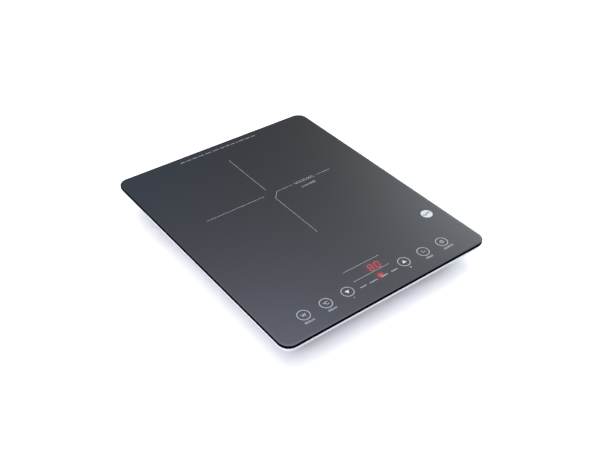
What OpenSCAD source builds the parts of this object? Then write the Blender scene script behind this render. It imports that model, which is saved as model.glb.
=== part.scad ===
// Portable electric induction cooktop with one cooking zone.
// The origin is on the worktop under the middle of the glass plate. X points right, Y points to the
// back, away from the controls, and Z points up. All lengths are in millimetres.

/* [Plate and case] */
// Width of the glass plate, left to right
plate_w = 290; // [284:1:310]
// Depth of the glass plate, front to back
plate_d = 356; // [352:1:380]
// Corner radius of the glass plate
plate_r = 13.5; // [12:0.5:18]
// Thickness of the glass plate
glass_t = 4; // [3:0.5:5]
// Height from the worktop to the top of the glass
total_h = 40; // [39:0.5:44]
// Height of the white rim under the glass
rim_h = 5.5; // [4:0.5:6]
// How far the flat underside is set in from the edge of the plate
underside_inset = 23; // [21:1:25]
// Wall thickness of the white mouldings
wall_t = 2.4; // [2:0.1:2.6]
// Height of the rubber feet
foot_h = 5; // [4:0.5:6]
// Diameter of the rubber feet
foot_d = 20; // [16:1:24]

/* [Cooking zone] */
// Centre of the cooking zone, right of the middle of the plate
zone_x = -3; // [-5:1:0]
// Centre of the cooking zone, behind the middle of the plate
zone_y = 43; // [42:1:45]
// Length of the printed cross, end to end
cross_span = 187; // [160:1:200]
// Number of turns of the coil
coil_turns = 19; // [12:1:19]
// Diameter of the litz wire
litz_d = 2.4; // [2:0.1:2.5]
// Diameter of the coil carrier
carrier_d = 180; // [178:1:182]

/* [Controls] */
// Distance of the touch keys from the front edge
key_inset = 28.5; // [27:0.5:29]
// Distance between neighbouring touch keys
key_pitch = 29.5; // [29:0.1:30.2]
// Distance of the innermost touch keys from the middle
key_first = 40.8; // [40.5:0.1:42]
// Diameter of the printed key rings
key_ring_d = 15; // [14:0.5:17]
// Width of the printed lines
ink_w = 0.7; // [0.5:0.1:1]

/* [Cooling] */
// Width of the fan frame
fan_w = 70; // [68:1:70]
// Number of fan blades
fan_blades = 7; // [5:1:9]
// Width of the air slots
vent_w = 2.8; // [2:0.1:3.2]
// Number of air slots in the rear wall
rear_vents = 24; // [8:1:24]
// Number of air slots in each side wall
side_vents = 11; // [4:1:11]

/* [Mains cord] */
// Diameter of the mains cord that fits the gland
cord_d = 7; // [6:0.1:7.4]
// Place of the cord gland, right of the middle of the plate
gland_x = -70; // [-76:1:-66]

/* [Hidden] */

$fn = 64;
hull_fn = 32;    // facets round a circle inside a hull
skin = 0.01;     // thickness of the slabs that a hull joins, and overlap of joined solids
gap = 0.1;       // clearance between a screw, bush or stem and its hole
pilot_gap = 0.05; // clearance between a screw and its pilot hole
SIDES = [-1, 1];

// Heights
ink_t = 0.1;                         // depth of the print fused into the glass
ink_z = total_h - ink_t;
glass_z = total_h - glass_t;         // underside of the glass
frame_top_z = glass_z - 0.2;
rim_z = glass_z - rim_h;
tray_top_z = rim_z - 0.4;
floor_z = foot_h + wall_t;           // inside of the base

half_w = plate_w/2;
half_d = plate_d/2;

// Upper frame
rim_inset = 1.5;
rim_t = 2.7;
flange_t = 2.8;
flange_inset = 16;
bead_inset = 5;
bead_w = 4;
bead_groove = 0.8;
tongue_inset = 9;
tongue_r = 9;
tongue_t = 1.6;
tongue_h = 4.4;
flange_z = frame_top_z - flange_t;

// Base shell, as [inset, corner radius, height] from the bottom up
tray_outer = [
    [underside_inset + 4, 12, foot_h],
    [underside_inset, 15, foot_h + 2.5],
    [2.5, plate_r - 2, tray_top_z]
];
slope_deg = atan2(tray_outer[2][2] - tray_outer[1][2], tray_outer[1][0] - tray_outer[2][0]);
wall_run = wall_t/sin(slope_deg);    // the wall's thickness measured level
tray_inner = [
    [underside_inset + 3.5, 12, floor_z],
    [tray_outer[2][0] + wall_run, plate_r - 4, tray_top_z + 1]
];

// Case screws and the posts they pass through
screw_inset = 18;
side_screw_y = 50;
case_screw_spots = concat(
    [for (x = SIDES, y = SIDES) [x*(half_w - screw_inset), y*(half_d - screw_inset)]],
    [for (x = SIDES, y = SIDES) [x*(half_w - screw_inset), y*side_screw_y]]
);
screw_d = 2.9;                       // thread of every larger screw
head_d = 5.6;
head_h = 2.2;
post_d = 10;
boss_d = 8;
boss_root_d = 12;
post_top_z = 24.5;
seat_t = 3;
case_screw_l = 10;
screw_room = 0.5;                    // depth of a pilot hole past the screw's tip

// Feet
foot_inset = 40;
foot_spots = [for (x = SIDES, y = SIDES) [x*(half_w - foot_inset), y*(half_d - foot_inset)]];
stem_d = 6;
stem_head_d = 8.4;
stem_head_h = 1.5;

// Cord exit and gland
exit_w = 26;
exit_l = 22;                         // reach of the block into the case
exit_y = half_d - 10;                // outer face of the cord exit
exit_z = [6.5, 22];
gland_z = 14.2;
gland_neck_d = 9.4;
gland_flange_d = 13;
gland_flange_t = 1.5;
gland_clip_d = 10.6;
gland_inside = 6.5;                  // how far the gland reaches in past the wall
gland_clip_t = 3;

// Coil
coil_pitch = litz_d + 0.5;
coil_in_r = 27;
coil_out_r = coil_in_r + coil_turns*coil_pitch;
carrier_t = 2.6;
carrier_top_z = 30.2;
carrier_z = carrier_top_z - carrier_t;
coil_z = carrier_top_z + gap + litz_d/2;
ferrite = [50, 12, 5];
ferrite_in_r = 30;
spokes = 8;
hub_r = 12;
hub_wall = 2;
hub_floor_t = 1.6;
sensor_cap_h = 4;
sensor_stem = 3;                     // radius and length of the sensor's stem
spring_wire_d = 0.8;
hub_z = 23;
mica_t = 0.6;
coil_ear_r = 96;
coil_post_d = 9;
coil_screw_l = 10;
coil_spots = [for (a = [45:90:315]) [zone_x + coil_ear_r*cos(a), zone_y + coil_ear_r*sin(a)]];

// Main board
board_t = 1.6;
board_z = 12;
board_lo = [-116, -121];
board_hi = [38, -36];
board_top_z = board_z + board_t;
board_screw_inset = 5;
board_post_d = 7;
board_screw_l = 5;
board_spots = [
    for (x = [board_lo[0] + board_screw_inset, board_hi[0] - board_screw_inset],
         y = [board_lo[1] + board_screw_inset, board_hi[1] - board_screw_inset]) [x, y]
];
terminal = [8, 8, 3];
terminal_y = -49;
terminal_x = [zone_x, zone_x + 14];

// Line choke, fuse and mains terminal block
choke_at = [-88, -78];
choke_r = [6, 12];
choke_h = 9;
choke_z = board_top_z + 2;
choke_turns = 8;
fuse_at = [-100, -116];
fuse_l = 22;
fuse_d = 5;
fuse_z = board_top_z + 4;
block_lo = [-86, 126];
block_size = [22, 16, 13];
block_way = 6.6;                     // distance between the block's ways
block_way_x = 4.4;                   // from the block's left side to its first way
block_wire_z = floor_z + 4;
mains_plug_at = [-100.5, -47.5];
mains_plug = [13, 9, 6];

// Plugs on the main board
fan_plug_at = [30, -50];
fan_plug = [12, 7, 7];
sensor_plug_at = [-14, -41];
sensor_plug = [8, 5.6, 4];
ribbon_x = -36;
ribbon_y = -117;                     // where the ribbon cable hangs down
ribbon_plug = [12, 6, 5];

// Heatsink, with the two power devices under it
sink_lo = [-28, -118];
sink_size = [56, 62];
sink_base_z = 20;
sink_base_t = 4;
sink_top_z = 33.5;
sink_fins = 10;
fin_t = 1.4;
sink_leg_d = 5;
transistor_at = [-4, -100];
rectifier_at = [-4, -72];
device_t = 5;

// Fan
fan_at = [80, -87];
fan_h = 15;
fan_z = floor_z + 2;
fan_r = 32.5;
fan_flange = 3;
fan_hole_off = fan_w/2 - 3.7;
fan_screw_l = fan_h + 2.9;
fan_spots = [for (x = SIDES, y = SIDES) [fan_at[0] + x*fan_hole_off, fan_at[1] + y*fan_hole_off]];
blade_tip_r = 31.5;
blade_tilt = 35;
blade_t = 1.4;
hub_out_r = 14;
cup_wall = 1.4;
cup_z = fan_z + 3;
cup_top_z = fan_z + 13.6;
magnet_t = 1.4;
shaft_r = 1.5;
shaft_z = fan_z + 1.5;
shaft_top_z = cup_top_z - cup_wall;
bearing_gap = 0.05;
bearing_r = 3;
bearing_top_z = fan_z + 10.6;
stator_r = 10;
stator_z = fan_z + 4;
stator_h = 5;
intake_r = 30;
intake_pitch = 5.4;
intake_rows = 5;                     // rows of slots each side of the middle one

// Control board
control_z = 25.5;
control_lo = [-112, -160.5];
control_hi = [112, -122.5];
control_top_z = control_z + board_t;
control_screw_l = 8;
control_spots = [for (x = SIDES, y = [-129, -147]) [x*85.5, y]];
key_y = -half_d + key_inset;
key_xs = [for (side = SIDES, i = [0:2]) side*(key_first + i*key_pitch)];
touch_spring_r = 5;
touch_turns = 4;
light_xs = [-22, -8, 4.7, 21];
light_z_room = 0.6;                  // room under the glass for the display and light box

// Printed marks
arm_gap = 9.6;                       // from the middle of the cross to the start of each arm
caption_gap = [35, 68];              // stretch of the right arm left open for a small caption
arrow_d = 5;
display_line_w = 53;
display_line_ys = [key_y + 8.3, key_y + 26];
badge_at = [124, -101.5];
badge_d = 16;
back_marks_y = 167;
back_marks = 20;
back_mark_w = 4.6;
back_mark_pitch = 6;

WHITE = [0.9, 0.91, 0.93];
COPPER = [0.75, 0.42, 0.25];
STEEL = [0.72, 0.73, 0.75];
BOARD = [0.12, 0.36, 0.2];

// ---------- shared shapes ----------

// Upright block with rounded corners, centred on Z
module rounded_block(w, d, r, h) {
    translate([r - w/2, -d/2, 0]) cube([w - 2*r, d, h]);
    translate([-w/2, r - d/2, 0]) cube([w, d - 2*r, h]);
    for (x = SIDES, y = SIDES)
        translate([x*(w/2 - r), y*(d/2 - r), 0]) cylinder(r = r, h = h);
}

// Block whose edge runs inside the plate's edge by inset
module inset_block(inset, z, h, r) {
    translate([0, 0, z]) rounded_block(plate_w - 2*inset, plate_d - 2*inset, r, h);
}

// Flat ring that follows the plate's edge
module edge_ring(inset, width, z, h, corner = 2) {
    inner_r = max(plate_r - inset - width, corner);
    difference() {
        inset_block(inset, z, h, max(plate_r - inset, corner));
        inset_block(inset + width, z - 1, h + 2, inner_r);
    }
}

// Solid between rounded outlines, each [inset, corner radius, height]
module tapered_body(profile) {
    hull()
        for (p = profile)
            inset_block(p[0], p[2], skin, p[1], $fn = hull_fn);
}

module box_from(lo, hi, z, h) {
    translate([lo[0], lo[1], z]) cube([hi[0] - lo[0], hi[1] - lo[1], h]);
}

module box_at(at, size, z) {
    translate([at[0] - size[0]/2, at[1] - size[1]/2, z]) cube(size);
}

module disc_at(at, d, z, h) {
    translate([at[0], at[1], z]) cylinder(d = d, h = h);
}

module ring(r_out, r_in, h) {
    difference() {
        cylinder(r = r_out, h = h);
        translate([0, 0, -1]) cylinder(r = r_in, h = h + 2);
    }
}

// Cross-head screw: the head stands on Z = 0 and the shank hangs below
module screw(length, shank_d = screw_d, head = head_d, height = head_h) {
    difference() {
        union() {
            cylinder(d = head, h = height);
            translate([0, 0, -length]) cylinder(d = shank_d, h = length + skin);
        }
        for (a = [0, 90])
            rotate(a) translate([-head*0.3, -head*0.07, height/2]) cube([head*0.6, head*0.14, height]);
    }
}

module screws_at(spots, z, length) {
    for (p = spots)
        translate([p[0], p[1], z]) screw(length);
}

// Post with a blind pilot hole from its top
module pilot_posts(spots, z, top, d, depth) {
    difference() {
        for (p = spots) disc_at(p, d, z, top - z);
        pilot_holes(spots, top, depth);
    }
}

module pilot_holes(spots, top, depth) {
    for (p = spots) disc_at(p, screw_d + 2*pilot_gap, top - depth, depth + skin);
}

// Wire that runs straight between points
module wire_run(points, d) {
    bend_swell = 1.03;
    for (i = [0:len(points) - 2]) {
        step = points[i + 1] - points[i];
        translate(points[i])
            rotate([0, acos(step[2]/norm(step)), atan2(step[1], step[0])])
                cylinder(d = d, h = norm(step), $fn = 24);
    }
    for (i = [1:len(points) - 2])
        translate(points[i]) sphere(d = d*bend_swell, $fn = 24);
}

module half_ring(r, wire_d) {
    rotate_extrude(angle = 180, $fn = 48) translate([r, 0]) circle(d = wire_d, $fn = 20);
}

// Flat spiral of half rings about two centres, starting and ending on -Y
module flat_spiral(r, pitch, turns, wire_d) {
    rotate(-90)
        for (k = [0:2*turns - 1])
            translate([(k % 2)*pitch/2, 0, 0])
                rotate(180*(k % 2)) half_ring(r + k*pitch/2, wire_d);
}

// Compression spring of half rings, each leaning over by half the pitch
module spring(r, wire_d, turns, h) {
    rise = (h - wire_d)/(2*turns);
    lean = asin(rise/(2*r));
    for (k = [0:2*turns - 1])
        translate([0, 0, wire_d/2 + (k + 0.5)*rise])
            rotate([0, lean, 180*(k % 2)]) half_ring(r, wire_d);
}

// ---------- glass and case ----------

module glass_plate() {
    color([0.05, 0.055, 0.065]) difference() {
        inset_block(0, glass_z, glass_t, plate_r);
        print_shapes(ink_t + 1);
    }
}

module ink_bar(x, y, w, d, h) {
    translate([x - w/2, y - d/2, ink_z]) cube([w, d, h]);
}

module key_print(h) {
    for (x = key_xs)
        translate([x, key_y, ink_z]) ring(key_ring_d/2, key_ring_d/2 - ink_w, h);
    for (side = SIDES)
        translate([side*key_first, key_y, ink_z])
            rotate(side*90) cylinder(d = arrow_d, h = h, $fn = 3);
    for (y = display_line_ys)
        ink_bar(0, y, display_line_w, ink_w, h);
}

module zone_cross(h) {
    arm = cross_span/2 - arm_gap;
    mid = (arm_gap + cross_span/2)/2;
    ink_bar(zone_x, zone_y + mid, ink_w, arm, h);
    ink_bar(zone_x, zone_y - mid, ink_w, arm, h);
    ink_bar(zone_x - mid, zone_y, arm, ink_w, h);
    difference() {
        ink_bar(zone_x + mid, zone_y, arm, ink_w, h);
        translate([zone_x + caption_gap[0], zone_y - ink_w, ink_z - 1])
            cube([caption_gap[1] - caption_gap[0], 2*ink_w, h + 2]);
    }
}

// The print as solids of height h that stand on its lower face
module print_shapes(h) {
    key_print(h);
    zone_cross(h);
    disc_at(badge_at, badge_d, ink_z, h);
    for (i = [0:back_marks - 1])
        ink_bar((i - (back_marks - 1)/2)*back_mark_pitch, back_marks_y, back_mark_w, ink_w, h);
}

module printed_marks() {
    color([0.75, 0.77, 0.8]) print_shapes(ink_t);
}

module seal_bead() {
    color([0.2, 0.2, 0.22])
        edge_ring(bead_inset, bead_w, frame_top_z - bead_groove, glass_z - frame_top_z + bead_groove);
}

module upper_frame() {
    color(WHITE) difference() {
        union() {
            edge_ring(rim_inset, rim_t, rim_z, frame_top_z - rim_z);
            edge_ring(rim_inset, flange_inset - rim_inset, flange_z, flange_t);
            edge_ring(tongue_inset, tongue_t, flange_z - tongue_h, tongue_h + skin, tongue_r);
            for (p = case_screw_spots) {
                disc_at(p, boss_d, post_top_z, frame_top_z - post_top_z);
                disc_at(p, boss_root_d, flange_z, flange_t);
            }
        }
        edge_ring(bead_inset, bead_w, frame_top_z - bead_groove, bead_groove + 1);
        for (p = case_screw_spots)
            disc_at(p, screw_d + 2*pilot_gap, post_top_z - 1, case_screw_l - seat_t + screw_room + 1);
    }
}

// One row of slots through the sloping wall on the +Y side
module wall_slots(count, reach, middle) {
    pitch = 6;
    slot_l = 13;
    slot_inset = 13;
    cut = 14;
    slot_z = tray_outer[1][2] + (tray_outer[1][0] - slot_inset)*tan(slope_deg);
    for (i = [0:count - 1])
        translate([middle + (i - (count - 1)/2)*pitch, reach - slot_inset, slot_z])
            rotate([slope_deg, 0, 0]) cube([vent_w, slot_l, cut], center = true);
}

module vent_slots() {
    rear_middle = 36;
    side_middle = 98;
    wall_slots(rear_vents, half_d, rear_middle);
    rotate(-90) wall_slots(side_vents, half_w, -side_middle);
    rotate(90) wall_slots(side_vents, half_w, side_middle);
}

module intake_slots() {
    for (i = [-intake_rows:intake_rows]) {
        x = i*intake_pitch;
        reach = 2*sqrt(intake_r*intake_r - x*x);
        translate([fan_at[0] + x - vent_w/2, fan_at[1] - reach/2, foot_h - 1])
            cube([vent_w, reach, wall_t + 2]);
    }
}

// Hollow block in the rear wall that gives the cord an upright face to leave by
module cord_exit(grow, back) {
    translate([gland_x - exit_w/2 - grow, exit_y - exit_l, exit_z[0] - grow])
        cube([exit_w + 2*grow, exit_l - back, exit_z[1] - exit_z[0] + 2*grow]);
}

module base_posts() {
    for (p = case_screw_spots) disc_at(p, post_d, foot_h, post_top_z - foot_h);
    pilot_posts(coil_spots, floor_z - skin, carrier_z, coil_post_d, coil_screw_l);
    pilot_posts(board_spots, floor_z - skin, board_z, board_post_d, board_screw_l);
    pilot_posts(control_spots, floor_z - skin, control_z, board_post_d, control_screw_l);
    for (p = fan_spots) disc_at(p, board_post_d, floor_z - skin, fan_z - floor_z + skin);
}

module base_shell() {
    slot_clear = 0.6;
    pocket_d = head_d + slot_clear;
    color(WHITE) difference() {
        union() {
            difference() {
                tapered_body(tray_outer);
                tapered_body(tray_inner);
            }
            intersection() {
                tapered_body(tray_outer);
                base_posts();
            }
            cord_exit(0, 0);
        }
        cord_exit(-wall_t, wall_t);
        translate([gland_x, exit_y + 1, gland_z])
            rotate([90, 0, 0]) cylinder(d = gland_neck_d + 2*gap, h = wall_t + 2);
        for (p = case_screw_spots) {
            disc_at(p, pocket_d, foot_h - 1, post_top_z - seat_t - foot_h + 1);
            disc_at(p, screw_d + 2*gap, post_top_z - seat_t - 1, seat_t + 2);
        }
        for (p = foot_spots) disc_at(p, stem_d + 2*gap, foot_h - 1, wall_t + 2);
        pilot_holes(fan_spots, fan_z, fan_screw_l - fan_h + screw_room);
        vent_slots();
        intake_slots();
    }
}

module rubber_feet() {
    tread = 1.5;
    color([0.16, 0.16, 0.17])
        for (p = foot_spots)
            difference() {
                union() {
                    disc_at(p, foot_d, tread, foot_h - tread);
                    translate([p[0], p[1], 0]) cylinder(d1 = foot_d - 2*tread, d2 = foot_d, h = tread);
                    disc_at(p, stem_d, foot_h - skin, wall_t + 2*skin);
                    disc_at(p, stem_head_d, floor_z, stem_head_h);
                }
                disc_at(p, foot_d/2, -1, 2);
            }
}

module case_screws() {
    color(STEEL)
        for (p = case_screw_spots)
            translate([p[0], p[1], post_top_z - seat_t]) mirror([0, 0, 1]) screw(case_screw_l);
}

module cord_gland() {
    neck_l = wall_t + gland_inside;
    color([0.18, 0.18, 0.19])
        translate([gland_x, exit_y, gland_z]) rotate([90, 0, 0]) difference() {
            union() {
                translate([0, 0, -gland_flange_t]) cylinder(d = gland_flange_d, h = gland_flange_t);
                translate([0, 0, -skin]) cylinder(d = gland_neck_d, h = neck_l);
                translate([0, 0, wall_t]) cylinder(d = gland_clip_d, h = gland_clip_t);
            }
            translate([0, 0, -gland_flange_t - 1])
                cylinder(d = cord_d + 2*gap, h = neck_l + gland_flange_t + 2);
        }
}

// ---------- cooking zone ----------

module at_zone(z) {
    translate([zone_x, zone_y, z]) children();
}

module mica_sheet() {
    color([0.8, 0.74, 0.6]) at_zone(coil_z + litz_d/2 + gap) ring(coil_out_r + 3, hub_r + 1, mica_t);
}

module coil_carrier() {
    ring_w = 4;
    hub_ring_r = hub_r + 8;
    mid_ring_r = coil_in_r + 29;
    ear_w = 10;
    lip_h = 1.5;
    lead_hole_d = 4;
    arm_from = hub_r + 4;
    ear_from = carrier_d/2 - 3;
    color([0.17, 0.17, 0.18]) at_zone(carrier_z) difference() {
        union() {
            ring(hub_ring_r, hub_r - 1, carrier_t);
            ring(mid_ring_r, mid_ring_r - ring_w, carrier_t);
            ring(carrier_d/2, carrier_d/2 - ring_w, carrier_t);
            for (i = [0:spokes - 1])
                rotate((i + 0.5)*360/spokes)
                    translate([arm_from, -ferrite[1]/2, 0])
                        cube([carrier_d/2 - ring_w/2 - arm_from, ferrite[1], carrier_t]);
            for (a = [45:90:315])
                rotate(a) {
                    translate([ear_from, -ear_w/2, 0]) cube([coil_ear_r - ear_from, ear_w, carrier_t]);
                    translate([coil_ear_r, 0, 0]) cylinder(d = ear_w, h = carrier_t);
                }
            translate([0, 0, hub_z - carrier_z]) cylinder(r = hub_r, h = carrier_top_z - hub_z + lip_h);
        }
        translate([0, 0, hub_z - carrier_z + hub_floor_t]) cylinder(r = hub_r - hub_wall, h = 20);
        translate([0, 0, hub_z - carrier_z - 1]) cylinder(d = lead_hole_d, h = hub_floor_t + 2);
        for (a = [45:90:315])
            rotate(a) translate([coil_ear_r, 0, -1]) cylinder(d = screw_d + 2*gap, h = carrier_t + 2);
    }
}

module coil_winding() {
    lead_z = carrier_z - litz_d - 0.3;
    end_z = board_top_z + terminal[2];
    color(COPPER) {
        at_zone(coil_z) flat_spiral(coil_in_r, coil_pitch, coil_turns, litz_d);
        wire_run([
            [zone_x, zone_y - coil_in_r, coil_z],
            [zone_x, zone_y - coil_in_r, lead_z],
            [terminal_x[1], terminal_y, lead_z],
            [terminal_x[1], terminal_y, end_z]
        ], litz_d);
        wire_run([
            [zone_x, zone_y - coil_out_r, coil_z],
            [terminal_x[0], terminal_y, coil_z],
            [terminal_x[0], terminal_y, end_z]
        ], litz_d);
    }
}

module ferrite_bars() {
    color([0.25, 0.25, 0.27]) at_zone(carrier_z - ferrite[2])
        for (i = [0:spokes - 1])
            rotate((i + 0.5)*360/spokes) translate([ferrite_in_r, -ferrite[1]/2, 0]) cube(ferrite);
}

module coil_screws() {
    color(STEEL) screws_at(coil_spots, carrier_top_z, coil_screw_l);
}

module glass_sensor() {
    color([0.88, 0.88, 0.86]) at_zone(glass_z - sensor_cap_h) {
        cylinder(r = hub_r - hub_wall - 1.2, h = sensor_cap_h);
        translate([0, 0, -sensor_stem]) cylinder(r = sensor_stem, h = sensor_stem + skin);
    }
}

module sensor_spring() {
    floor_top = hub_z + hub_floor_t;
    r = 6;
    turns = 4;
    color(STEEL) at_zone(floor_top) spring(r, spring_wire_d, turns, glass_z - sensor_cap_h - floor_top);
}

module sensor_lead() {
    x = zone_x - 1;
    low_z = hub_z - 4;
    wire_d = 1.6;
    color([0.85, 0.85, 0.82])
        wire_run([
            [x, zone_y, glass_z - sensor_cap_h - sensor_stem],
            [x, zone_y, low_z],
            [sensor_plug_at[0], sensor_plug_at[1], low_z],
            [sensor_plug_at[0], sensor_plug_at[1], board_top_z + sensor_plug[2]]
        ], wire_d);
}

module coil_terminals() {
    color([0.8, 0.68, 0.35])
        for (x = terminal_x) box_at([x, terminal_y], terminal, board_top_z);
}

// ---------- main board ----------

module main_board() {
    color(BOARD) difference() {
        box_from(board_lo, board_hi, board_z, board_t);
        for (p = board_spots) disc_at(p, screw_d + 2*gap, board_z - 1, board_t + 2);
        for (p = [transistor_at, rectifier_at]) disc_at(p, head_d + 1, board_z - 1, board_t + 2);
    }
}

module heatsink() {
    fin_pitch = (sink_size[1] - fin_t)/(sink_fins - 1);
    leg_in = 4;
    hi = sink_lo + sink_size;
    color([0.75, 0.76, 0.78]) difference() {
        union() {
            box_from(sink_lo, hi, sink_base_z, sink_base_t);
            for (i = [0:sink_fins - 1])
                translate([sink_lo[0], sink_lo[1] + i*fin_pitch, sink_base_z + sink_base_t - skin])
                    cube([sink_size[0], fin_t, sink_top_z - sink_base_z - sink_base_t + skin]);
            for (x = [sink_lo[0] + leg_in, hi[0] - leg_in], y = [sink_lo[1] + leg_in, hi[1] - leg_in])
                disc_at([x, y], sink_leg_d, board_top_z, sink_base_z - board_top_z + skin);
        }
        for (p = [transistor_at, rectifier_at]) disc_at(p, screw_d + 2*pilot_gap, sink_base_z - 1, 4);
    }
}

// Flat power device under the heatsink: a drilled block with bent legs down to the board
module power_device(at, size, legs, leg_pitch) {
    leg = [0.8, 1.2];
    body_z = sink_base_z - device_t;
    difference() {
        box_at(at, [size[0], size[1], device_t], body_z);
        disc_at(at, screw_d + 2*gap, body_z - 1, device_t + 2);
    }
    for (i = [0:legs - 1])
        translate([at[0] - size[0]/2 - 3, at[1] + (i - (legs - 1)/2)*leg_pitch - leg[1]/2, 0]) {
            translate([0, 0, board_top_z]) cube([leg[0], leg[1], body_z + 2 - board_top_z]);
            translate([0, 0, body_z + 2 - leg[0]]) cube([3 + skin, leg[1], leg[0]]);
        }
}

module power_transistor() {
    color([0.12, 0.12, 0.13]) power_device(transistor_at, [20, 16], 3, 5.4);
}

module bridge_rectifier() {
    color([0.1, 0.1, 0.11]) power_device(rectifier_at, [20, 28], 4, 7);
}

module device_screws() {
    color(STEEL)
        for (p = [transistor_at, rectifier_at])
            translate([p[0], p[1], sink_base_z - device_t]) mirror([0, 0, 1]) screw(7, height = 1.2);
}

module resonant_capacitor() {
    color([0.75, 0.15, 0.13]) box_at([-46, -91], [32, 18, 18], board_top_z);
}

module smoothing_capacitor() {
    color([0.75, 0.15, 0.13]) box_at([-54, -70], [32, 16, 17], board_top_z);
}

module interference_capacitor() {
    color([0.86, 0.7, 0.16]) box_at([-99, -102.5], [26, 15, 15], board_top_z);
}

module line_choke_core() {
    color([0.3, 0.42, 0.3]) translate([choke_at[0], choke_at[1], choke_z])
        ring(choke_r[1], choke_r[0], choke_h);
}

// Two half windings, each a row of wire loops round the core
module line_choke_winding() {
    wire = 1;
    air = 0.3;
    loop_w = choke_r[1] - choke_r[0] + 2*(wire + air);
    loop_h = choke_h + 2*(wire + air);
    first = 25;
    sweep = 130;
    color(COPPER) translate([choke_at[0], choke_at[1], choke_z - wire - air])
        for (side = [0, 180], i = [0:choke_turns - 1])
            rotate(side + first + i*sweep/(choke_turns - 1))
                translate([choke_r[0] - wire - air, -wire/2, 0]) difference() {
                    cube([loop_w, wire, loop_h]);
                    translate([wire, -1, wire]) cube([loop_w - 2*wire, wire + 2, loop_h - 2*wire]);
                }
}

module small_transformer() {
    at = [-52, -109];
    color([0.75, 0.65, 0.3]) {
        box_at(at, [16, 14, 4], board_top_z);
        box_at(at, [18, 8, 12], board_top_z + 4 - skin);
        box_at(at, [12, 14, 8], board_top_z + 6);
    }
}

module electrolytic_capacitors() {
    cap_d = 10;
    cap_h = 15;
    vent = 0.5;                      // width and depth of the pressure vent's cross
    vent_l = 7;
    y = -49;
    color([0.15, 0.2, 0.35])
        for (x = [-70, -57, -44])
            difference() {
                disc_at([x, y], cap_d, board_top_z, cap_h);
                box_at([x, y], [vent_l, vent, 2], board_top_z + cap_h - vent);
                box_at([x, y], [vent, vent_l, 2], board_top_z + cap_h - vent);
            }
}

module fuse() {
    cap_l = 5;
    tube_d = fuse_d - 0.4;
    color([0.85, 0.88, 0.9]) translate([fuse_at[0], fuse_at[1], fuse_z]) rotate([0, 90, 0]) {
        cylinder(d = tube_d, h = fuse_l);
        cylinder(d = fuse_d, h = cap_l);
        translate([0, 0, fuse_l - cap_l]) cylinder(d = fuse_d, h = cap_l);
    }
}

module fuse_clips() {
    clip = [3, fuse_d + 2, 6];
    mouth = fuse_d - 1.2;
    color([0.8, 0.8, 0.78])
        for (x = [fuse_at[0] + 1, fuse_at[0] + fuse_l - 1 - clip[0]])
            difference() {
                translate([x, fuse_at[1] - clip[1]/2, board_top_z]) cube(clip);
                translate([x - 1, fuse_at[1], fuse_z])
                    rotate([0, 90, 0]) cylinder(d = fuse_d + 2*gap, h = clip[0] + 2);
                translate([x - 1, fuse_at[1] - mouth/2, fuse_z]) cube([clip[0] + 2, mouth, clip[2]]);
            }
}

module varistor() {
    at = [-108, -76];
    disc_d = 12;
    disc_t = 4;
    leg = [4, 1, 1];
    leg_y = 3.5;
    color([0.15, 0.3, 0.6]) translate([at[0], at[1], board_top_z + leg[0]/2]) rotate([0, 90, 0]) {
        translate([-disc_d/2, 0, 0]) cylinder(d = disc_d, h = disc_t);
        for (side = SIDES)
            translate([0, side*leg_y, disc_t/2]) cube(leg, center = true);
    }
}

// Flat chip with a row of legs along each long side
module chip(at, body, legs, z) {
    leg = [0.6, 1.5, 1];
    lift = 0.2;
    leg_pitch = body[0]/legs;
    box_at(at, body, z + lift);
    for (side = SIDES, i = [0:legs - 1])
        box_at([at[0] + (i - (legs - 1)/2)*leg_pitch, at[1] + side*(body[1] + leg[1] - skin)/2], leg, z);
}

module control_chip() {
    color([0.12, 0.12, 0.13]) chip([-30, -47], [14, 7, 2], 10, board_top_z);
}

module mains_terminals() {
    color([0.9, 0.9, 0.88]) box_at(mains_plug_at, mains_plug, board_top_z);
}

module mains_terminal_block() {
    hole_d = 4;
    color([0.9, 0.9, 0.88]) difference() {
        translate([block_lo[0], block_lo[1], floor_z]) cube(block_size);
        for (i = [0:2]) {
            x = block_lo[0] + block_way_x + i*block_way;
            disc_at([x, block_lo[1] + block_size[1]/2], hole_d, floor_z + block_size[2]/2, block_size[2]);
            translate([x, block_lo[1] + block_size[1] + 1, block_wire_z])
                rotate([90, 0, 0]) cylinder(d = hole_d, h = block_size[1]/2);
        }
    }
}

// The brown and blue leads, from the terminal block along the case to the main board
module mains_leads() {
    wire_d = 2.2;
    low_z = 9.5;
    in_z = board_top_z + 3;
    turn_y = 100;
    rise_y = -30;
    wall_x = -104;
    lead_pitch = 5;
    color([0.35, 0.22, 0.16])
        for (i = [0, 1]) {
            from = block_lo[0] + lead_pitch + i*(block_way - 0.6);
            x = wall_x + lead_pitch*i;
            wire_run([
                [from, block_lo[1], block_wire_z],
                [from, block_lo[1] - 2, block_wire_z],
                [from, block_lo[1] - 6, low_z],
                [x, turn_y - 3*i, low_z],
                [x, rise_y, low_z],
                [x, rise_y, in_z],
                [x, mains_plug_at[1] + mains_plug[1]/2, in_z]
            ], wire_d);
        }
}

module board_connectors() {
    color([0.92, 0.92, 0.9]) {
        box_at(fan_plug_at, fan_plug, board_top_z);
        box_at(sensor_plug_at, sensor_plug, board_top_z);
        box_at([ribbon_x, ribbon_y - ribbon_plug[1]/2 + 3], ribbon_plug, board_top_z);
        box_at([ribbon_x, ribbon_y - 11], ribbon_plug, control_z - ribbon_plug[2]);
    }
}

module board_screws() {
    color(STEEL) screws_at(board_spots, board_top_z, board_screw_l);
}

// ---------- fan ----------

module at_fan(z) {
    translate([fan_at[0], fan_at[1], z]) children();
}

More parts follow.
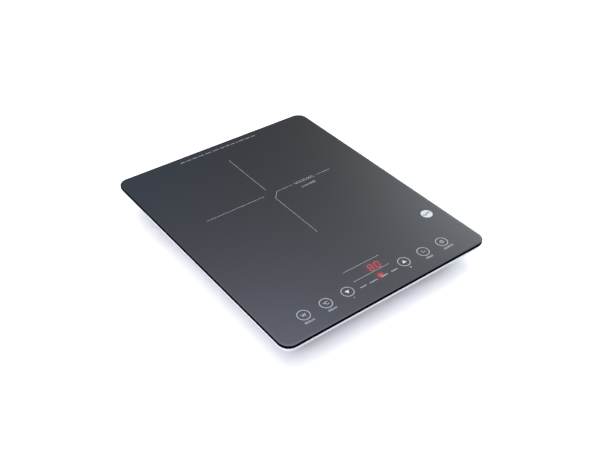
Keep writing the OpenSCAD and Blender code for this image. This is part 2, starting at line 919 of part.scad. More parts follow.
module fan_frame() {
    corner_r = 4;
    strut_w = 3;
    strut_t = 2;
    ring_wall = 2;
    color([0.16, 0.16, 0.17]) difference() {
        union() {
            difference() {
                union() {
                    at_fan(fan_z) rounded_block(fan_w, fan_w, corner_r, fan_flange);
                    at_fan(fan_z + fan_h - fan_flange) rounded_block(fan_w, fan_w, corner_r, fan_flange);
                    at_fan(fan_z) cylinder(r = fan_r + ring_wall, h = fan_h);
                }
                at_fan(fan_z - 1) cylinder(r = fan_r, h = fan_h + 2);
            }
            at_fan(fan_z) {
                cylinder(r = hub_out_r + 1, h = strut_t);
                for (a = [20:90:290])
                    rotate(a) translate([hub_out_r, -strut_w/2, 0])
                        cube([fan_r - hub_out_r + 0.5, strut_w, strut_t]);
                cylinder(r = bearing_r, h = bearing_top_z - fan_z);
            }
        }
        at_fan(fan_z + strut_t/2) cylinder(r = shaft_r + bearing_gap, h = fan_h);
        for (p = fan_spots) disc_at(p, screw_d + 2*gap, fan_z - 1, fan_h + 2);
    }
}

module stator_poles(w, r_in, r_out, z, h) {
    for (a = [0:90:270])
        at_fan(z) rotate(a) translate([r_in, -w/2, 0]) cube([r_out - r_in, w, h]);
}

module fan_stator() {
    core_r = 4.8;
    shoe_t = 1.4;
    color([0.5, 0.5, 0.52]) {
        at_fan(stator_z) ring(core_r, bearing_r + gap, stator_h);
        stator_poles(2.4, core_r - 0.5, stator_r - shoe_t/2, stator_z, stator_h);
        difference() {
            at_fan(stator_z) ring(stator_r, stator_r - shoe_t, stator_h);
            for (a = [45, 135])
                at_fan(stator_z - 1) rotate(a) translate([-20, -1, 0]) cube([40, 2, stator_h + 2]);
        }
    }
}

module fan_windings() {
    color(COPPER) difference() {
        stator_poles(4.6, 5.2, 8.2, stator_z - 1.2, stator_h + 2.4);
        stator_poles(2.6, 4, 9, stator_z - 0.1, stator_h + 0.2);
    }
}

module fan_impeller() {
    chord = (cup_top_z - cup_z - blade_t)/sin(blade_tilt);
    blade_mid = (hub_out_r + blade_tip_r)/2;
    root_r = hub_out_r - 0.6;
    boss_z = bearing_top_z + 0.4;
    color([0.2, 0.2, 0.22]) {
        difference() {
            at_fan(cup_z) cylinder(r = hub_out_r, h = cup_top_z - cup_z);
            at_fan(cup_z - 1) cylinder(r = hub_out_r - cup_wall, h = cup_top_z - cup_z - cup_wall + 1);
        }
        difference() {
            at_fan(boss_z) cylinder(r = bearing_r, h = shaft_top_z - boss_z + skin);
            at_fan(fan_z) cylinder(r = shaft_r, h = shaft_top_z - fan_z);
        }
        for (i = [0:fan_blades - 1])
            intersection() {
                at_fan(cup_z) ring(blade_tip_r, root_r, cup_top_z - cup_z - 0.2);
                at_fan((cup_z + cup_top_z)/2)
                    rotate([0, 0, i*360/fan_blades]) translate([blade_mid, 0, 0])
                        rotate([blade_tilt, 0, 0]) cube([blade_tip_r, chord, blade_t], center = true);
            }
    }
}

module fan_magnet() {
    color([0.3, 0.3, 0.32]) at_fan(stator_z - 0.5)
        ring(hub_out_r - cup_wall - 0.05, hub_out_r - cup_wall - magnet_t, stator_h + 1);
}

module fan_shaft() {
    color(STEEL) at_fan(shaft_z) cylinder(r = shaft_r, h = shaft_top_z - shaft_z);
}

module fan_screws() {
    color(STEEL) screws_at(fan_spots, fan_z + fan_h, fan_screw_l);
}

module fan_lead() {
    wire_d = 1.1;
    from_y = -66;
    from_z = fan_z + fan_flange/2;
    up_x = 41.6;
    in_z = board_top_z + fan_plug[2]/2 + 0.5;
    color([0.75, 0.12, 0.1])
        for (i = [0, 1]) {
            x = up_x + 1.2*i;
            y = from_y + 2*i;
            in_y = fan_plug_at[1] - 1 + 2*i;
            wire_run([
                [fan_at[0] - fan_w/2, y, from_z],
                [x, y, from_z],
                [x, y, in_z],
                [x, in_y, in_z],
                [fan_plug_at[0] + fan_plug[0]/2, in_y, in_z]
            ], wire_d);
        }
}

// ---------- controls ----------

module control_board() {
    color(BOARD) difference() {
        box_from(control_lo, control_hi, control_z, board_t);
        for (p = control_spots) disc_at(p, screw_d + 2*gap, control_z - 1, board_t + 2);
    }
}

module touch_springs() {
    color(STEEL)
        for (x = key_xs)
            translate([x, key_y, control_top_z])
                spring(touch_spring_r, spring_wire_d, touch_turns, glass_z - control_top_z);
}

module display_module() {
    top_z = glass_z - light_z_room;
    window = [24, 13];
    frame_w = 1.5;
    recess = 0.5;
    at = [9.5, -135.5];
    color([0.12, 0.12, 0.13]) difference() {
        box_at(at, [window[0] + 2*frame_w, window[1] + 2*frame_w, top_z - control_top_z], control_top_z);
        box_at(at, [window[0], window[1], 2], top_z - recess);
    }
    color([0.8, 0.1, 0.08])
        box_at(at, [window[0] - 1, window[1] - 1, recess - gap], top_z - recess - skin);
}

module indicator_lights() {
    light = [2, 1.4, 0.9];
    color([0.85, 0.2, 0.15])
        for (x = light_xs) box_at([x, key_y], light, control_top_z);
}

module light_box() {
    chamber_d = 3.6;
    size = [60, 7, glass_z - light_z_room - control_top_z];
    color([0.12, 0.12, 0.13]) difference() {
        box_at([0, key_y], size, control_top_z);
        for (x = light_xs) disc_at([x, key_y], chamber_d, control_top_z - 1, size[2] + 2);
    }
}

module buzzer() {
    at = [55, -132];
    d = 12;
    h = 7;
    hole_d = 2;
    color([0.13, 0.13, 0.14]) difference() {
        disc_at(at, d, control_z - h, h);
        disc_at(at, hole_d, control_z - h - 1, 3);
    }
}

module touch_chip() {
    color([0.12, 0.12, 0.13]) translate([0, 0, control_z])
        mirror([0, 0, 1]) chip([0, -140], [10, 6, 1.6], 8, 0);
}

// Flat cable from the control board's plug down to the main board's
module ribbon_cable() {
    cable_w = 10;
    cable_t = 0.8;
    from_y = ribbon_y - 8;
    top_z = control_z - ribbon_plug[2]/2;
    end_z = board_top_z + ribbon_plug[2];
    color([0.8, 0.8, 0.82])
        translate([ribbon_x - cable_w/2, 0, 0]) rotate([90, 0, 90]) linear_extrude(cable_w)
            polygon([
                [from_y, top_z],
                [ribbon_y + cable_t/2, top_z],
                [ribbon_y + cable_t/2, end_z],
                [ribbon_y - cable_t/2, end_z],
                [ribbon_y - cable_t/2, top_z - cable_t],
                [from_y, top_z - cable_t]
            ]);
}

module control_screws() {
    color(STEEL) screws_at(control_spots, control_top_z, control_screw_l);
}

glass_plate();
printed_marks();
seal_bead();
upper_frame();
base_shell();
rubber_feet();
case_screws();
cord_gland();
mica_sheet();
coil_carrier();
coil_winding();
ferrite_bars();
coil_screws();
glass_sensor();
sensor_spring();
sensor_lead();
coil_terminals();
main_board();
heatsink();
power_transistor();
bridge_rectifier();
device_screws();
resonant_capacitor();
smoothing_capacitor();
interference_capacitor();
line_choke_core();
line_choke_winding();
small_transformer();
electrolytic_capacitors();
fuse();
fuse_clips();
varistor();
control_chip();
mains_terminals();
mains_leads();
mains_terminal_block();
board_connectors();
board_screws();
fan_frame();
fan_stator();
fan_windings();
fan_impeller();
fan_magnet();
fan_shaft();
fan_screws();
fan_lead();
control_board();
touch_springs();
display_module();
indicator_lights();
light_box();
buzzer();
touch_chip();
ribbon_cable();
control_screws();
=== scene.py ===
import math
import random

import bmesh
import bpy
from mathutils import Matrix, Vector


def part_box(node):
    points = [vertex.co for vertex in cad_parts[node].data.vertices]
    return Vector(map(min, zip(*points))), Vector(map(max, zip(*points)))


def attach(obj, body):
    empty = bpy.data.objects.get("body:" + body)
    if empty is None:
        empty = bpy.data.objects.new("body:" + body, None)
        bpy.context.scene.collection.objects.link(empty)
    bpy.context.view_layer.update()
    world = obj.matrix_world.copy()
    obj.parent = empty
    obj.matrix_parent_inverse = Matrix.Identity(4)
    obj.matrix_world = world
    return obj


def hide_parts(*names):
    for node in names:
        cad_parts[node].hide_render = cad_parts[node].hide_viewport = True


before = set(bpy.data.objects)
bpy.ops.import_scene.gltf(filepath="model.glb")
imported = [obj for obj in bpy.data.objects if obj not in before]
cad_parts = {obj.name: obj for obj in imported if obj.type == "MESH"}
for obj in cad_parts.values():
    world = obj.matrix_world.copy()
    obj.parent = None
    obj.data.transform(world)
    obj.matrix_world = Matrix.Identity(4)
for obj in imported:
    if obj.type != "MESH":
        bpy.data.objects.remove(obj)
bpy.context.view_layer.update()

# Lengths are in millimetres, in the CAD frame, and become metres when a mesh is made.
MM = 0.001


def box_mm(node):
    """Lowest and highest corner of a CAD node, in millimetres."""
    lo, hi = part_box(node)
    return lo / MM, hi / MM


def middle(node):
    lo, hi = box_mm(node)
    return (lo + hi) / 2


# ---------- sizes, from the frame and the driving dimensions ----------

glass_lo, glass_hi = box_mm("glass_plate")
frame_lo, frame_hi = box_mm("upper_frame")
tray_lo, tray_hi = box_mm("base_shell")
gland_lo, gland_hi = box_mm("cord_gland")
feet_hi = box_mm("rubber_feet")[1]
case_screws_hi = box_mm("case_screws")[1]
HALF_W, HALF_D = glass_hi.x, glass_hi.y
SIDES = (-1, 1)

PLATE_R = 13.5    # radius of the plate's corners
RIM_H = 5.5    # from the glass down to the rim's lower edge
UNDERSIDE_INSET = 23.0    # from the plate's edge to the foot of the base's sloping wall
WALL_T = 2.4
SEAM = 0.4    # gap between the rim and the base
rim_z = glass_lo.z - RIM_H
tray_top_z = rim_z - SEAM
floor_z = tray_lo.z + WALL_T
rim_inset = HALF_W - frame_hi.x
tray_inset = HALF_W - tray_hi.x

SCREW_D = 2.9
HEAD_D = 5.6
FOOT_D = 20.0
STEM_D = 6.0
foot_x = feet_hi.x - FOOT_D / 2
foot_y = feet_hi.y - FOOT_D / 2
FOOT_SPOTS = [(x * foot_x, y * foot_y) for x in SIDES for y in SIDES]
SIDE_SCREW_Y = 50.0
screw_x = case_screws_hi.x - HEAD_D / 2
screw_ys = (case_screws_hi.y - HEAD_D / 2, SIDE_SCREW_Y)
CASE_SCREW_SPOTS = [(x * screw_x, way * y) for x in SIDES for way in SIDES for y in screw_ys]
PILOT_R = SCREW_D / 2 + 0.05    # the hole that a screw's thread bites into

# ---------- mesh helpers ----------

CORNER_STEPS = 14


def outline(inset, corner_r, z):
    """Rounded rectangle that runs inside the plate's edge by inset, anticlockwise from above."""
    points = []
    for quarter, (sx, sy) in enumerate(((1, -1), (1, 1), (-1, 1), (-1, -1))):
        cx = sx * (HALF_W - inset - corner_r)
        cy = sy * (HALF_D - inset - corner_r)
        for k in range(CORNER_STEPS + 1):
            a = math.pi / 2 * (quarter - 1 + k / CORNER_STEPS)
            points.append((cx + corner_r * math.cos(a), cy + corner_r * math.sin(a), z))
    return points


def softened(points, cuts, steps=5, closed=False):
    """The path through points, with each bend rounded off over its cut length on both sides."""
    path = [Vector(p) for p in points]
    out = []
    for i, p in enumerate(path):
        is_end = not closed and i in (0, len(path) - 1)
        if is_end or cuts[i] == 0:
            out.append(p)
            continue
        before, after = path[i - 1], path[(i + 1) % len(path)]
        a = p + (before - p).normalized() * cuts[i]
        b = p + (after - p).normalized() * cuts[i]
        for k in range(steps + 1):
            t = k / steps
            out.append(a * (1 - t) ** 2 + p * 2 * t * (1 - t) + b * t * t)
    return out


def loft(bm, rings, closed=False):
    """Skins rings that have the same number of points, and caps the ends unless they meet."""
    loops = [[bm.verts.new(p) for p in ring] for ring in rings]
    following = loops[1:] + loops[:1] if closed else loops[1:]
    for a, b in zip(loops, following):
        for i in range(len(a)):
            j = (i + 1) % len(a)
            bm.faces.new((a[i], a[j], b[j], b[i]))
    if not closed:
        bm.faces.new(list(reversed(loops[0])))
        bm.faces.new(loops[-1])


def lathe(bm, profile, place=Matrix(), steps=48):
    """Turns a (radius, height) profile about Z. It starts and ends on the axis, or is closed."""
    rings = []
    for r, z in profile:
        if r == 0:
            rings.append([bm.verts.new(place @ Vector((0, 0, z)))])
            continue
        ring = [Vector((x, y, z)) for x, y in disc(r, (0, 0), steps)]
        rings.append([bm.verts.new(place @ v) for v in ring])
    is_closed = len(rings[0]) > 1
    following = rings[1:] + rings[:1] if is_closed else rings[1:]
    for a, b in zip(rings, following):
        for i in range(steps):
            j = (i + 1) % steps
            corners = [a[i % len(a)], a[j % len(a)], b[j % len(b)], b[i % len(b)]]
            bm.faces.new(list(dict.fromkeys(corners)))


def prism(bm, points, z0, z1):
    """Upright solid on a flat outline."""
    loft(bm, [[(x, y, z) for x, y in points] for z in (z0, z1)])


def disc(r, at, steps=48):
    turns = [math.tau * k / steps for k in range(steps)]
    return [(at[0] + r * math.cos(a), at[1] + r * math.sin(a)) for a in turns]


def stadium(length, width, steps=8):
    """Outline of a slot with round ends that runs along Y, about the origin."""
    r = width / 2
    reach = length / 2 - r
    points = []
    for end in (1, -1):
        for k in range(steps + 1):
            a = math.pi * k / steps + (0 if end == 1 else math.pi)
            points.append((r * math.cos(a), end * reach + r * math.sin(a)))
    return points


def stroke(points, width):
    """Outline of a pen line through the points, with round ends and mitred bends."""
    path = [Vector(p) for p in points]
    r = width / 2
    left, right = [], []
    for i, p in enumerate(path):
        into = (p - path[i - 1]).normalized() if i else (path[1] - p).normalized()
        out_of = (path[i + 1] - p).normalized() if i < len(path) - 1 else into
        side = Vector((-into.y - out_of.y, into.x + out_of.x)).normalized()
        reach = r / max(side.dot(Vector((-into.y, into.x))), 0.4)
        left.append(p + side * reach)
        right.append(p - side * reach)

    def cap(centre, start):
        """Three points of the round end that begins at start."""
        a0 = math.atan2(start.y - centre.y, start.x - centre.x)
        turns = [a0 - a for a in (0.8, 1.57, 2.35)]
        return [centre + Vector((math.cos(a), math.sin(a))) * r for a in turns]

    return left + cap(path[-1], left[-1]) + right[::-1] + cap(path[0], right[0])


SHARP_DEG = 32


def object_from(bm, name, sharp_deg=SHARP_DEG):
    """Makes an object from a mesh in millimetres, with smooth shading between its sharp edges."""
    bmesh.ops.transform(bm, matrix=Matrix.Scale(MM, 4), verts=bm.verts)
    bmesh.ops.recalc_face_normals(bm, faces=bm.faces)
    mesh = bpy.data.meshes.new(name)
    bm.to_mesh(mesh)
    bm.free()
    mesh.shade_smooth()
    mesh.set_sharp_from_angle(angle=math.radians(sharp_deg))
    obj = bpy.data.objects.new(name, mesh)
    bpy.context.scene.collection.objects.link(obj)
    return obj


def combine(obj, operation, other):
    """Adds, cuts or keeps what obj shares with other, and removes other."""
    step = obj.modifiers.new(operation, "BOOLEAN")
    step.operation = operation
    step.solver = "MANIFOLD"
    step.object = other
    evaluated = obj.evaluated_get(bpy.context.evaluated_depsgraph_get())
    mesh = bpy.data.meshes.new_from_object(evaluated)
    obj.modifiers.clear()
    old = obj.data
    obj.data = mesh
    mesh.materials.clear()    # the modifier leaves an empty slot
    mesh.name = old.name
    bpy.data.meshes.remove(old)
    bpy.data.objects.remove(other)
    mesh.shade_smooth()
    mesh.set_sharp_from_angle(angle=math.radians(SHARP_DEG))


def piece(obj, material, slot, *nodes, body="root"):
    """Gives a piece its material, its body and the CAD nodes that it stands for. The slot argument
    is not used.
    """
    if not obj.data.materials:
        obj.data.materials.append(material)
    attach(obj, body)
    if nodes:
        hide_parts(*nodes)


# ---------- materials ----------


class Graph:
    """A node tree, with short calls that add nodes and link them."""

    def __init__(self, tree):
        self.tree = tree

    def add(self, kind, inputs=(), **settings):
        node = self.tree.nodes.new(kind)
        for key, value in settings.items():
            setattr(node, key, value)
        for key, value in dict(inputs).items():
            self.put(node.inputs[key], value)
        return node

    def put(self, socket, value):
        if isinstance(value, bpy.types.NodeSocket):
            self.tree.links.new(value, socket)
        else:
            socket.default_value = value

    def maths(self, operation, a, b=0.0):
        return self.add("ShaderNodeMath", {0: a, 1: b}, operation=operation).outputs[0]

    def vector_maths(self, operation, a, b=(0, 0, 0), output="Vector"):
        node = self.add("ShaderNodeVectorMath", {0: a, 1: b}, operation=operation)
        return node.outputs[output]


class Finish(Graph):
    """A material's nodes, with the patterns that the finishes share."""

    def __init__(self, name):
        self.material = bpy.data.materials.new(name)
        self.material.use_nodes = True
        super().__init__(self.material.node_tree)
        self.shader = self.tree.nodes["Principled BSDF"]
        self.place = self.add("ShaderNodeTexCoord").outputs["Object"]

    def set(self, **sockets):
        """Sets the shader's sockets. An underscore in a name stands for a space."""
        for key, value in sockets.items():
            self.put(self.shader.inputs[key.replace("_", " ")], value)

    def scaled(self, x, y, z):
        return self.add("ShaderNodeMapping", {"Vector": self.place, "Scale": (x, y, z)}).outputs[0]

    def noise(self, scale, detail=4.0, vector=None):
        inputs = {"Vector": vector or self.place, "Scale": scale, "Detail": detail}
        return self.add("ShaderNodeTexNoise", inputs | {"Roughness": 0.6}).outputs["Fac"]

    def spread(self, value, low, high, start=0.3, end=0.7):
        """Maps the range from start to end onto low to high."""
        inputs = {"Value": value, "From Min": start, "From Max": end, "To Min": low, "To Max": high}
        return self.add("ShaderNodeMapRange", inputs).outputs[0]

    def mix(self, factor, a, b, blend="MIX"):
        node = self.add("ShaderNodeMix", data_type="RGBA", blend_type=blend)
        for key, value in (("Factor_Float", factor), ("A_Color", a), ("B_Color", b)):
            socket = next(s for s in node.inputs if s.identifier == key)
            self.put(socket, value)
        return next(s for s in node.outputs if s.identifier == "Result_Color")

    def bump(self, height, distance, strength):
        inputs = {"Height": height, "Distance": distance * MM, "Strength": strength}
        return self.add("ShaderNodeBump", inputs).outputs[0]


def shade(colour, by):
    return (*[min(c * by, 1.0) for c in colour], 1.0)


def finish(name, colour, rough, grain, vary, relief, bumpy=0.25, pattern=None, second=None,
           **sockets):
    """Procedural finish. grain counts the features in a metre, relief is their height in mm.
    pattern gives a factor from 0 to 1 between colour and second, and also raises the surface."""
    n = Finish(name)
    fine = n.noise(grain, 5.0)
    broad = n.noise(grain / 40, 3.0)
    tone = n.mix(n.spread(broad, 0, 1), shade(colour, 1 - vary), shade(colour, 1 + vary))
    height = fine
    if pattern:
        factor = pattern(n)
        tone = n.mix(factor, tone, shade(second or colour, 1))
        height = n.maths("ADD", n.maths("MULTIPLY", fine, 0.4), factor)
    speckle = n.spread(fine, 1 - vary, 1 + vary)
    grey = n.add("ShaderNodeCombineColor", {0: speckle, 1: speckle, 2: speckle}).outputs[0]
    n.set(
        Base_Color=n.mix(1.0, tone, grey, "MULTIPLY"),
        Roughness=n.spread(broad, rough * 0.85, min(rough * 1.15, 1.0)),
        Normal=n.bump(height, relief, bumpy),
        **sockets,
    )
    return n.material


def bands(x, y, z, low=0.35, high=0.65):
    """Pattern of straight bands. x, y and z are about twice the bands in a metre of each axis."""

    def pattern(n):
        inputs = {"Vector": n.scaled(x, y, z), "Scale": 2 / math.tau, "Distortion": 0.3}
        wave = n.add("ShaderNodeTexWave", inputs, bands_direction="DIAGONAL")
        return n.spread(wave.outputs["Fac"], 0, 1, low, high)

    return pattern


def flakes(scale, low=0.2, high=0.5):
    """Pattern of small scattered cells, with scale cells in a metre."""

    def pattern(n):
        cell = n.add("ShaderNodeTexVoronoi", {"Vector": n.place, "Scale": scale})
        return n.spread(cell.outputs["Distance"], 0, 1, low, high)

    return pattern


def brushed(x, y, z):
    """Pattern of fine streaks, with x, y and z streaks in a metre along each axis."""

    def pattern(n):
        return n.spread(n.noise(1.0, 3.0, n.scaled(x, y, z)), 0, 1, 0.35, 0.65)

    return pattern


def tracks(n):
    """Pattern of the copper tracks under a circuit board's green lacquer."""
    where = n.scaled(90, 90, 90)
    brick = n.add("ShaderNodeTexBrick", {
        "Vector": where, "Scale": 1.0, "Mortar Size": 0.045, "Mortar Smooth": 0.05,
        "Brick Width": 0.9, "Row Height": 0.22})
    inputs = {"Vector": where, "Scale": 2.2}
    cell = n.add("ShaderNodeTexVoronoi", inputs, feature="DISTANCE_TO_EDGE")
    edge = n.spread(cell.outputs["Distance"], 1, 0, 0.03, 0.06)
    return n.maths("MAXIMUM", brick.outputs["Fac"], edge)


# middle, half widths and strength of the painted glow: red light that the lit parts make in the
# glass, painted as emission on the glass
DIGIT_PAINTED_GLOW = ((7.8, -134.4), (8.0, 6.0), 0.1)
DOT_PAINTED_GLOW = ((4.6, -150.5), (4.8, 4.8), 0.12)


def glass_finish():
    """Polished black glass: faint wiping haze in its gloss, and a painted red glow over the lit
    parts, emission that stands in for their light in the glass.
    """
    n = Finish("black_glass")
    glow = 0.0
    # painted glow: red emission on the glass that fades out from each lit part
    for (x, y), (wide, deep), strength in (DIGIT_PAINTED_GLOW, DOT_PAINTED_GLOW):
        off = n.vector_maths("SUBTRACT", n.place, (x * MM, y * MM, 0))
        flat = n.vector_maths("MULTIPLY", off, (1 / (wide * MM), 1 / (deep * MM), 0))
        away = n.vector_maths("LENGTH", flat, output="Value")
        squared = n.maths("MULTIPLY", away, away)
        fade = n.maths("POWER", math.e, n.maths("MULTIPLY", squared, -1.0))
        glow = n.maths("ADD", n.maths("MULTIPLY", fade, strength), glow)
    haze = n.noise(9.0, 4.0, n.scaled(1.0, 2.2, 1.0))
    dust = n.spread(n.noise(2400.0, 2.0), 0, 1, 0.62, 0.75)
    n.set(
        Base_Color=n.mix(dust, (0.0035, 0.0036, 0.0045, 1), (0.012, 0.012, 0.014, 1)),
        Roughness=n.spread(haze, 0.045, 0.075),
        IOR=1.5,
        Normal=n.bump(n.noise(14.0, 2.0), 0.01, 0.3),
        Emission_Color=(1.0, 0.03, 0.04, 1),
        Emission_Strength=glow,
    )
    return n.material


def glow_finish(name, colour, strength, middle_at=None, reach=None):
    """Red light that shows through the glass. With middle_at it fades out over reach."""
    n = Finish(name)
    grain = n.noise(1500.0, 3.0)
    level = n.spread(grain, strength * 0.9, strength * 1.1)
    if middle_at:
        away = n.vector_maths("DISTANCE", n.place, [v * MM for v in middle_at], "Value")
        fade = n.spread(away, 1, 0, 0.25 * reach * MM, reach * MM)
        level = n.maths("MULTIPLY", level, fade)
    n.set(
        Base_Color=n.mix(grain, (0.02, 0.001, 0.001, 1), (0.035, 0.002, 0.002, 1)),
        Roughness=0.06,
        Emission_Color=n.mix(grain, shade(colour, 0.95), shade(colour, 1.05)),
        Emission_Strength=level,
    )
    return n.material


def look(colour, rough, grain, vary, relief, **more):
    values = {"colour": colour, "rough": rough, "grain": grain, "vary": vary, "relief": relief}
    return values | more


LOOKS = {
    "light_print": look((0.24, 0.25, 0.27), 0.4, 2500, 0.12, 0.005),
    "silicone": look((0.03, 0.03, 0.034), 0.55, 500, 0.1, 0.05),
    "white_plastic": look((0.575, 0.597, 0.65), 0.36, 1800, 0.012, 0.012, bumpy=0.2),
    "foot_rubber": look((0.035, 0.035, 0.038), 0.75, 2200, 0.15, 0.03),
    "screw_steel": look((0.62, 0.63, 0.65), 0.28, 1500, 0.06, 0.01,
                        pattern=brushed(400, 400, 4000), second=(0.75, 0.76, 0.78), Metallic=1.0),
    "black_plastic": look((0.022, 0.022, 0.025), 0.42, 2600, 0.12, 0.02),
    "mica": look((0.62, 0.53, 0.38), 0.35, 700, 0.12, 0.02,
                 pattern=flakes(260), second=(0.78, 0.7, 0.52)),
    "copper_litz": look((0.62, 0.25, 0.1), 0.32, 1200, 0.1, 0.08, bumpy=0.6,
                        pattern=bands(1500, 1500, 900), second=(0.85, 0.42, 0.2), Metallic=1.0),
    "ferrite": look((0.035, 0.036, 0.04), 0.5, 1600, 0.2, 0.03,
                    pattern=flakes(900, 0.1, 0.3), second=(0.06, 0.06, 0.065)),
    "sensor_ceramic": look((0.8, 0.79, 0.75), 0.3, 1400, 0.04, 0.01),
    "spring_steel": look((0.66, 0.66, 0.68), 0.2, 2000, 0.04, 0.006,
                         pattern=brushed(3000, 3000, 800), second=(0.8, 0.8, 0.82), Metallic=1.0),
    "white_wire": look((0.74, 0.74, 0.7), 0.45, 1600, 0.05, 0.02),
    "brown_wire": look((0.16, 0.065, 0.03), 0.42, 1600, 0.1, 0.02),
    "red_wire": look((0.5, 0.03, 0.025), 0.42, 1600, 0.1, 0.02),
    "brass": look((0.75, 0.56, 0.25), 0.25, 1200, 0.08, 0.01,
                  pattern=brushed(600, 4000, 4000), second=(0.85, 0.66, 0.32), Metallic=1.0),
    "board_green": look((0.012, 0.11, 0.045), 0.3, 1800, 0.1, 0.04,
                        pattern=tracks, second=(0.05, 0.27, 0.11)),
    "aluminium": look((0.7, 0.71, 0.73), 0.3, 1400, 0.04, 0.02,
                      pattern=brushed(60, 3500, 3500), second=(0.82, 0.83, 0.85), Metallic=1.0),
    "device_black": look((0.02, 0.02, 0.022), 0.5, 3000, 0.2, 0.02),
    "capacitor_red": look((0.5, 0.035, 0.028), 0.28, 500, 0.06, 0.05),
    "capacitor_yellow": look((0.72, 0.48, 0.05), 0.3, 500, 0.06, 0.04),
    "choke_core": look((0.05, 0.16, 0.09), 0.35, 900, 0.08, 0.05),
    "transformer_tape": look((0.72, 0.55, 0.12), 0.3, 900, 0.06, 0.03,
                             pattern=bands(0, 0, 900), second=(0.8, 0.64, 0.2)),
    "capacitor_blue": look((0.02, 0.04, 0.14), 0.3, 800, 0.08, 0.02,
                           pattern=flakes(120, 0.05, 0.08), second=(0.03, 0.06, 0.2)),
    "fuse_glass": look((0.75, 0.8, 0.82), 0.08, 600, 0.03, 0.01,
                       pattern=bands(140, 0, 0), second=(0.6, 0.62, 0.64), Coat_Weight=0.5),
    "varistor_blue": look((0.02, 0.12, 0.42), 0.3, 600, 0.08, 0.05),
    "white_nylon": look((0.78, 0.77, 0.71), 0.4, 1500, 0.04, 0.02),
    "stator_iron": look((0.25, 0.25, 0.27), 0.4, 1500, 0.1, 0.05, bumpy=0.5,
                        pattern=bands(0, 0, 2500), second=(0.4, 0.4, 0.42), Metallic=1.0),
    "display_black": look((0.015, 0.015, 0.017), 0.35, 2600, 0.15, 0.01),
    "grey_ribbon": look((0.5, 0.51, 0.53), 0.4, 1500, 0.05, 0.08, bumpy=0.5,
                        pattern=bands(1000, 0, 0), second=(0.66, 0.67, 0.69)),
}
SLOT_FINISHES = {name: finish(name, **values) for name, values in LOOKS.items()}
SLOT_FINISHES["black_glass"] = glass_finish()
SLOT_FINISHES["indicator_red"] = glow_finish("indicator_red", (1.0, 0.05, 0.03), 1.5)


def dress_cad_nodes():
    """Gives every CAD node the finish of its slot."""
    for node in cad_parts.values():
        for holder in node.material_slots:
            holder.material = SLOT_FINISHES[holder.material.name]


# ---------- glass plate and print ----------

# depths under the print's highest point
GLASS_SINK = 0.05
INK_SINK = 0.02
INK_ROOT = 0.04    # the ink reaches this far into the glass
LAYER = 0.01    # step between marks that overlap
glass_top = glass_hi.z - GLASS_SINK
ink_top = glass_hi.z - INK_SINK


def make_glass():
    """The plate, with a ground edge between two polished arrises."""
    reach = 3.0
    arris = 0.7
    side = [
        (reach, PLATE_R - reach, glass_lo.z),
        (0, PLATE_R, glass_lo.z),
        (0, PLATE_R, glass_top),
        (reach, PLATE_R - reach, glass_top),
    ]
    profile = softened(side, [0, arris, arris, 0], steps=6)
    bm = bmesh.new()
    loft(bm, [outline(*p) for p in profile])
    plate = object_from(bm, "glass_top_plate", 40)
    edge = finish("ground_glass_edge", (0.0008, 0.001, 0.0025), 0.45, 2500, 0.2, 0.01,
                  Specular_IOR_Level=0.0)
    for material in (SLOT_FINISHES["black_glass"], edge):
        plate.data.materials.append(material)
    level_enough = 0.98
    for face in plate.data.polygons:
        if abs(face.normal.z) < level_enough:
            face.material_index = 1
    piece(plate, None, "black_glass", "glass_plate")


PRINT_X = -0.8    # the whole print sits a little to the left on the plate
KEY_Y = -149.3
KEY_FIRST, KEY_PITCH = 41.0, 29.55
KEY_XS = sorted(PRINT_X + way * (KEY_FIRST + i * KEY_PITCH) for way in SIDES for i in range(3))
KEY_RING_D = 15.0
RING_W = 0.85
LINE_W = 0.46
LABEL_Y = KEY_Y - 11.0
LABEL_WIDTHS = {0: 12.4, 1: 10.8, 4: 10.4, 5: 14.4}    # by key, from left to right
DISPLAY_LINE_YS = (KEY_Y + 7.9, KEY_Y + 25.8)
DISPLAY_LINE_REACH = 26.0
LIGHT_LABEL_Y = KEY_Y - 3.9
LIGHT_LABELS = ((-26.0, -17.3), (-12.7, -1.9), (4.0, 13.7), (18.5, 27.6))


class Print:
    """Flat marks of ink, drawn in millimetres on the plate."""

    def __init__(self):
        self.bm = bmesh.new()
        self.top = ink_top
        self.base = glass_top - INK_ROOT

    def fill(self, points):
        prism(self.bm, points, self.base, self.top)

    def line(self, points, width=LINE_W):
        self.fill(stroke(points, width))

    def bar(self, x0, x1, y, height):
        y0, y1 = y - height / 2, y + height / 2
        self.fill([(x0, y0), (x1, y0), (x1, y1), (x0, y1)])

    def ring(self, at, d, width):
        r = d / 2
        profile = [(r - width, self.base), (r, self.base), (r, self.top), (r - width, self.top)]
        lathe(self.bm, profile, Matrix.Translation((*at, 0)), 64)

    def dot(self, at, d):
        self.fill(disc(d / 2, at, 24))

    def ticks(self, x0, x1, y, height, seed, width=0.5, pitch=1.05, group=(40, 40)):
        """A row of upright ticks with dots between them, in place of a line of small words.
        group is the least and the most ticks between two gaps."""
        pick = random.Random(seed)
        short, gap = 0.72, 1.8
        dot, dot_end, dot_share = 0.45, 0.72, 0.55
        x, left = x0, pick.randint(*group)
        while x < x1 - width / 2:
            if left == 0:
                x, left = x + gap * pitch, pick.randint(*group)
                continue
            tall = height * pick.choice((1, 1, short))
            self.bar(x, x + width, y - (height - tall) / 2, tall)
            if pick.random() < dot_share:
                dot_y = y + pick.choice((-0.5, 0.5)) * (tall - dot)
                self.bar(x + width, x + dot_end * pitch, dot_y, dot)
            x += pitch
            left -= 1


